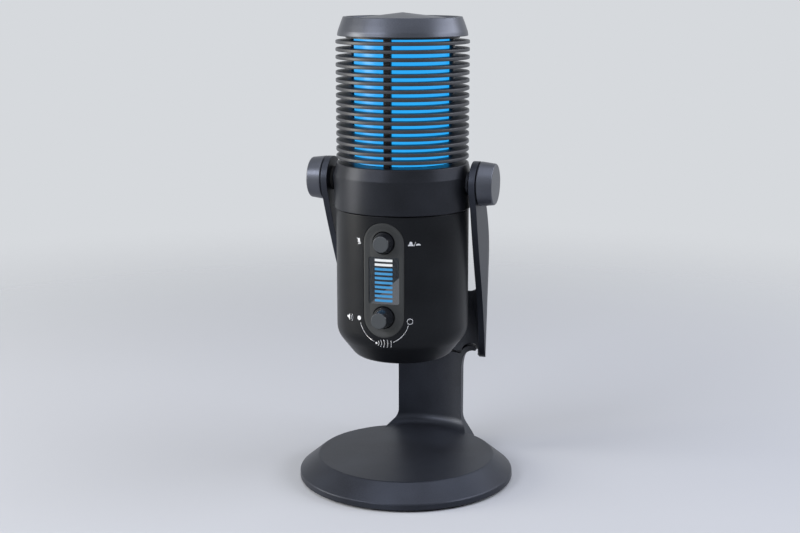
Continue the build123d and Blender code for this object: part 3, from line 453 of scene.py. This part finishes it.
# ------------------------------------------------------------------ cap with its ring of vent slots
cap_outline = [(30.7, 247.3, 0.2), (34.9, 247.3, 0.35), (34.5, 249.6, 6), (33.3, 253.0, 10),
               (31.7, 257.2, 0.35), (30.3, 257.2, 0.3), (29.9, 256.2, 0.2), (24.6, 256.4, 0.6),
               (0, 259.39, 0), (0, 256.6, 0), (24.0, 254.2, 0), (30.7, 254.2, 0)]
cap = spin("cap_blank", rounded(cap_outline, 10), [coat_lit_copy, black_plastic], around=200,
           paint=lambda r, h: 1 if h < 256.0 and r < 30.6 else 0)
slot = soft_box("slot_blank", -2.1, 2.1, -0.8, 0.8, 253.0, 258.0, [black_plastic], 0.35)
slot_circle = {"Count": SLOT_COUNT, "Radius": SLOT_CIRCLE_R * MM, "Start angle": radians(4.5),
               "Centre": (0.0, MIC_Y * MM, 0.0)}
slots = run_tree(slot, encircled(black_plastic, "slots_on_a_circle"), slot_circle, "slot_cutters",
                 [black_plastic])
cap = plain_mesh(carve(cap, slots), "top_cap_turned", [coat_lit_copy, black_plastic], 28)
drop(slots)
settle(cap, "microphone", "top_cap")

# ------------------------------------------------------------------ body shell with the panel's lip
def pill_outline(grow, count=28):
    """The panel's outline in X and Z, grown by a distance."""
    w, lo, hi = PANEL_HALF + grow, PANEL_LOW + PANEL_HALF, PANEL_HIGH - PANEL_HALF
    top = [(w * cos(pi * k / count), hi + w * sin(pi * k / count)) for k in range(count + 1)]
    mid = [(-w, hi + (lo - hi) * k / 16) for k in range(1, 16)]
    low = [(w * cos(pi + pi * k / count), lo + w * sin(pi + pi * k / count)) for k in range(count + 1)]
    back = [(w, lo + (hi - lo) * k / 16) for k in range(1, 16)]
    return top + mid + low + back


def pill_block(name, levels, mats):
    """A block with the pill's outline. Its size changes with depth: levels are (radius on the shell, growth)."""
    bm = bmesh.new()
    loops = []
    for radius, grow in levels:
        loops.append([bm.verts.new((x, MIC_Y - sqrt(radius * radius - x * x), z))
                      for x, z in pill_outline(grow)])
    n = len(loops[0])
    for a, b in zip(loops, loops[1:]):
        for k in range(n):
            bm.faces.new((a[k], a[(k + 1) % n], b[(k + 1) % n], b[k]))
    for loop, y in ((loops[0], -46.5), (loops[-1], -36.8)):
        hub = bm.verts.new((0, y, 121.5))
        for k in range(n):
            bm.faces.new((loop[k], loop[(k + 1) % n], hub))
    return mesh_piece(name, bm, mats)


shell_outline = [(0, 73.41, 0), (25.4, 73.41, 7), (SHELL_R, 86.9, 12), (SHELL_R, 155.5, 0.45), (34, 155.5, 0),
                 (34, 177.5, 0.3), (31.9, 177.5, 0.3), (31.9, 150, 0), (33.4, 147.5, 0), (33.4, 87.85, 9.5),
                 (24.1, 76.0, 4.5), (0, 76.0, 0)]
shell = spin("shell_blank", rounded(shell_outline, 6), [coat_shell], around=224)
# The openings in the underside: the data port, the headphone jack and two screw wells.
port = soft_box("port_cutter", -8 - 4.75, -8 + 4.75, MIC_Y - 1.9, MIC_Y + 1.9, 72, 78, [coat_shell], 1.2, 4)
jack = spin("jack_cutter", [(0, 72), (3.1, 72), (3.1, 78), (0, 78)], [coat_shell], at=(9.0, MIC_Y), around=48)
well = spin("screw_cutter", [(0, 72.5), (3.0, 72.5), (3.0, 73.7), (1.6, 75.1), (1.6, 78), (0, 78)],
            [coat_shell], at=(0.0, 0.0), around=40)
well_circle = {"Count": 2, "Radius": 17 * MM, "Start angle": pi / 2, "Centre": (0.0, MIC_Y * MM, 0.0)}
wells = run_tree(well, encircled(coat_shell, "screw_wells"), well_circle, "wells", [coat_shell])
lip = pill_block("pill_cutter", ((38.5, 0.4), (36.2, 0.38), (35.9, 0.14), (30.0, 0.14)), [coat_shell])
shell = plain_mesh(carve(shell, lip, port, jack, wells), "body_shell_turned", [coat_shell], 26)
drop(lip, port, jack, wells)
settle(shell, "microphone", "body_shell")


def flat_on_shell(name, loops, r0, r1, mats, step=0.8, sharp=40):
    """Flat outlines of (arc length, height) in mm, made into plates from radius r0 to r1 around the shell."""
    bm = bmesh.new()
    for loop in loops:
        bm.faces.new([bm.verts.new((s, z, 0)) for s, z in loop])
    bmesh.ops.triangulate(bm, faces=bm.faces)
    lo, hi = min(v.co.x for v in bm.verts), max(v.co.x for v in bm.verts)
    for k in range(1, int((hi - lo) / step) + 1):
        bmesh.ops.bisect_plane(bm, geom=bm.verts[:] + bm.edges[:] + bm.faces[:],
                               plane_co=(lo + step * k, 0, 0), plane_no=(1, 0, 0))
    top = bmesh.ops.extrude_face_region(bm, geom=bm.faces[:])["geom"]
    for v in top:
        if isinstance(v, bmesh.types.BMVert):
            v.co.z = 1
    for v in bm.verts:
        w, r = v.co.x / SHELL_R, r0 + (r1 - r0) * v.co.z
        v.co = Vector((r * sin(w), MIC_Y - r * cos(w), v.co.y))
    return mesh_piece(name, bm, mats, sharp)


def soft_rect(s0, s1, z0, z1, r):
    """A rectangle with round corners."""
    out = []
    centres = ((s1 - r, z1 - r, 0), (s0 + r, z1 - r, 90), (s0 + r, z0 + r, 180), (s1 - r, z0 + r, 270))
    for cx, cz, a0 in centres:
        out += [(cx + r * cos(radians(a0 + 15 * k)), cz + r * sin(radians(a0 + 15 * k))) for k in range(7)]
    return out


# ------------------------------------------------------------------ dished control panel and its display
panel = pill_block("panel_blank", ((38.5, -0.02), (30.0, -0.02)), [panel_plastic])
rim_skin = spin("rim_skin", [(35.85, 85), (50, 85), (50, 160), (35.85, 160)], [panel_plastic], around=224)
dish = pill_block("dish_cutter", ((39.5, -0.4), (35.9, -0.45), (35.8, -0.9), (35.62, -1.7), (35.42, -2.5),
                                  (35.27, -3.2), (35.15, -3.9), (32.0, -3.9)), [panel_plastic])
dish_floor = spin("dish_floor", [(0, 84), (35.2, 84), (35.2, 161), (0, 161)], [panel_plastic], around=224)
dish = plain_mesh(carve(dish, dish_floor), "dish", [panel_plastic])
back = spin("panel_back", [(0, 84), (33.8, 84), (33.8, 161), (0, 161)], [panel_plastic], around=224)
holes = [spin("knob_hole", [(0, -50), (6.2, -50), (6.2, -36), (0, -36)], [panel_plastic], "Y", (0.0, z), 1, 72)
         for z in (UPPER_KNOB_Z, LOWER_KNOB_Z)]
frame_hole = flat_on_shell("window_hole", [soft_rect(*WINDOW_HOLE, 1.0)], 33.0, 37.0, [panel_plastic])
panel = plain_mesh(carve(panel, rim_skin, dish, back, frame_hole, *holes), "control_panel_dished",
                   [panel_plastic], 26)
drop(rim_skin, dish, dish_floor, back, frame_hole, *holes)
settle(panel, "microphone", "control_panel")
settle(flat_on_shell("display_ground", [soft_rect(*WINDOW, 0.9)], 34.4, 34.95, [display_dark]),
       "microphone", "display_module")
bar = flat_on_shell("bar_blank", [soft_rect(-5.0, 5.0, 131.6, 132.9, 0.12)], 34.9, 35.02, [bar_light])
bar_row = {"Count": SEGMENT_COUNT, "First height": 0.0, "Pitch": -SEGMENT_PITCH * MM}
bars = run_tree(bar, stacked(bar_light), bar_row, "display_segments", [bar_light])
settle(bars, "microphone", "display_bars")
settle(flat_on_shell("clear_window", [soft_rect(*WINDOW, 0.95)], 35.06, 35.22, [window_clear]),
       "microphone", "display_window")

# ------------------------------------------------------------------ front knobs and clamp knobs
for label, z, tip, body in (("upper", UPPER_KNOB_Z, -47.2, "upper_turn"),
                            ("lower", LOWER_KNOB_Z, -51.0, "lower_turn")):
    outline = rounded([(0, tip, 0), (4.25, tip, 0.5), (5.7, -42.4, 0.6), (5.7, -41.6, 0.1), (0, -41.6, 0)], 10)
    knob = spin(label + "_knob_moulded", outline, [gloss_plastic, face_plastic], "Y", (0.0, z), 1, 96,
                lambda r, h, tip=tip: 1 if h < tip + 0.08 else 0)
    settle(knob, body, label + "_knob")
for label, side in (("left", -1), ("right", 1)):
    outline = rounded([(0, 43.3, 0), (11.4, 43.3, 0), (11.95, 43.9, 0.3), (11.0, 51.7, 0.8), (0, 51.7, 0)], 8)
    knob = spin(label + "_clamp_knob", outline, [coat_lit_copy], "X", (MIC_Y, PIVOT_Z), side, 128)
    settle(knob, label + "_clamp", label + "_knob")


# ------------------------------------------------------------------ printed marks, wrapped on the shell
def printed(name, shapes, lift=0.02):
    """A mark of pad-printing ink, a few hundredths of a millimetre proud of the shell. A mark that crosses
    another is lifted above it."""
    return settle(flat_on_shell(name, shapes, 35.98 + lift, 36.05 + lift, [print_ink], 0.7, 60), "microphone")


def disc(s, z, r, n=28):
    """A filled circle."""
    return [(s + r * cos(2 * pi * k / n), z + r * sin(2 * pi * k / n)) for k in range(n)]


def band(s, z, r, a0, a1, w, n=24):
    """Pieces of an arc line of width w, from angle a0 to a1."""
    out = []
    for k in range(n):
        p, q = radians(a0 + (a1 - a0) * k / n), radians(a0 + (a1 - a0) * (k + 1) / n)
        corners = ((r - w / 2, p), (r + w / 2, p), (r + w / 2, q), (r - w / 2, q))
        out.append([(s + far * cos(a), z + far * sin(a)) for far, a in corners])
    return out


def stroke(p, q, w):
    """A straight line of width w from p to q."""
    d = (Vector(q) - Vector(p)).normalized() * (w / 2)
    n = Vector((-d.y, d.x))
    return [tuple(Vector(p) + n), tuple(Vector(p) - n), tuple(Vector(q) - n), tuple(Vector(q) + n)]


def capsule_shape(s, z, r, h, n=10):
    """An upright pill of half width r and half height h."""
    return ([(s + r * cos(pi * k / n), z + h - r + r * sin(pi * k / n)) for k in range(n + 1)]
            + [(s + r * cos(pi + pi * k / n), z - h + r + r * sin(pi + pi * k / n)) for k in range(n + 1)])


def mound(s0, z0, half, height):
    """A flat-bottomed half ellipse, the shoulders of a figure."""
    bow = [(s0 + half * cos(radians(a)), z0 + height * sin(radians(a))) for a in range(15, 180, 15)]
    return [(s0 - half, z0), (s0 + half, z0)] + bow


mute = [capsule_shape(-14.3, 142.2, 0.55, 1.1), stroke((-14.3, 140.9), (-14.3, 140.3), 0.28),
        stroke((-15.0, 140.2), (-13.6, 140.2), 0.3)] + band(-14.3, 141.9, 0.95, 200, 340, 0.26, 10)
printed("print_mute", mute)
printed("print_mute_bar", [stroke((-15.6, 143.3), (-13.0, 140.3), 0.3)], lift=0.08)
printed("print_near_voice", [mound(14.8, 140.4, 1.55, 1.15)])
printed("print_near_head", [disc(14.8, 141.9, 0.8)], lift=0.08)
printed("print_divider", [stroke((16.6, 140.3), (17.35, 142.5), 0.24)])
printed("print_far_voice", [mound(18.75, 140.6, 1.3, 0.95)])
speaker = [[(-24.0, 100.0), (-24.0, 98.8), (-23.1, 98.8), (-21.8, 97.6), (-21.8, 101.2), (-23.1, 100.0)]]
speaker += [piece for r in (1.5, 2.6) for piece in band(-21.9, 99.4, r, -45, 45, 0.34, 8)]
printed("print_speaker", speaker)
printed("print_full_dot", [disc(-14.5, 100.0, 1.22)])
printed("print_hollow_ring", band(14.4, 99.9, 1.5, 0, 360, 0.34, 32))
printed("print_sweep_left", band(0, LOWER_KNOB_Z, 14.1, 197, 249, 0.32, 30))
printed("print_sweep_right", band(0, LOWER_KNOB_Z, 14.1, 293, 344, 0.32, 30))
echo = [disc(-3.7, 87.7, 0.6)]
for r, spread in ((1.7, 46), (3.1, 36), (4.7, 26), (6.5, 18), (8.4, 12)):
    echo += band(-3.9, 87.7, r, -spread, spread, 0.34, 8)
printed("print_echo", echo)


# ------------------------------------------------------------------ floor, light, camera
def area(name, place, look, size, power, colour):
    """A rectangular lamp, size in metres and power in watts, that faces a point."""
    d = bpy.data.lights.new(name, "AREA")
    d.shape = "RECTANGLE"
    d.size, d.size_y = size
    d.energy = power
    d.color = ink(colour)[:3]
    o = bpy.data.objects.new(name, d)
    o.location = place
    o.rotation_euler = (Vector(look) - Vector(place)).to_track_quat("-Z", "Y").to_euler()
    bpy.context.scene.collection.objects.link(o)


# The floor is opaque under the object and fades into the background further out.
FADE_FROM, FADE_TO, FLOOR_HALF = 0.22, 0.85, 6
floor_mesh = bpy.data.meshes.new("floor")
floor_mesh.from_pydata([(-FLOOR_HALF, -FLOOR_HALF, 0), (FLOOR_HALF, -FLOOR_HALF, 0),
                        (FLOOR_HALF, FLOOR_HALF, 0), (-FLOOR_HALF, FLOOR_HALF, 0)], [], [(0, 1, 2, 3)])
floor = bpy.data.objects.new("floor", floor_mesh)
bpy.context.scene.collection.objects.link(floor)
m, t, at = start("pale_floor")
paper = add(t, "ShaderNodeBsdfPrincipled", Base_Color=ink("C9CBCE"), Roughness=0.75)
far = add(t, "ShaderNodeVectorMath", {"operation": "LENGTH"}, _0=(at, "Object"))
fade = add(t, "ShaderNodeMapRange", {"interpolation_type": "SMOOTHSTEP"}, Value=(far, "Value"),
           From_Min=FADE_FROM, From_Max=FADE_TO)
gone = add(t, "ShaderNodeBsdfTransparent", Color=ink("FFFFFF"))
floor_mesh.materials.append(close(m, t, add(t, "ShaderNodeMixShader", Fac=(fade, "Result"), _1=(paper, "BSDF"),
                                            _2=(gone, "BSDF")), "Shader"))

# The world lights the object gently; seen directly, mirrored or through glass, it is the pale background.
world = bpy.data.worlds.new("studio")
bpy.context.scene.world = world
world.use_nodes = True
wt = world.node_tree
wt.nodes.clear()
air = add(wt, "ShaderNodeBackground", Color=ink("D8DCE4"), Strength=0.12)
seen = add(wt, "ShaderNodeBackground", Color=ink("D6D9DD"), Strength=1.0)
ray = add(wt, "ShaderNodeLightPath")
shiny = add(wt, "ShaderNodeMath", {"operation": "MAXIMUM"}, _0=(ray, "Is Glossy Ray"),
            _1=(ray, "Is Transmission Ray"))
looked_at = add(wt, "ShaderNodeMath", {"operation": "MAXIMUM"}, _0=(ray, "Is Camera Ray"),
                _1=(shiny, "Value"))
add(wt, "ShaderNodeOutputWorld", Surface=(add(wt, "ShaderNodeMixShader", Fac=(looked_at, "Value"),
                                              _1=(air, "Background"), _2=(seen, "Background")), "Shader"))

area("key_left", (-1.06, -0.36, 0.30), (0, 0, 0.15), (0.45, 0.6), 10, "FFFBF0")
area("wall_front_left", (-0.66, -0.92, 0.72), (0, 0, 0.2), (0.75, 0.36), 8, "F3F5FF")
area("wall_right", (0.95, 0.25, 0.60), (0, 0, 0.24), (1.1, 0.35), 8, "F3F5FF")
area("top_soft", (0.15, -0.25, 1.35), (0, 0, 0.05), (1.5, 1.3), 10, "F0F3FF")

cam_data = bpy.data.cameras.new("camera")
cam_data.lens = 62.86
cam_data.sensor_width = 36
cam_data.clip_start = 0.01
cam = bpy.data.objects.new("camera", cam_data)
cam.location = (0.21547, -0.72543, 0.27762)
cam.rotation_euler = Vector((-0.28306, 0.93737, -0.20298)).to_track_quat("-Z", "Y").to_euler()
bpy.context.scene.collection.objects.link(cam)
bpy.context.scene.camera = cam
bpy.context.scene.view_settings.view_transform = "Standard"
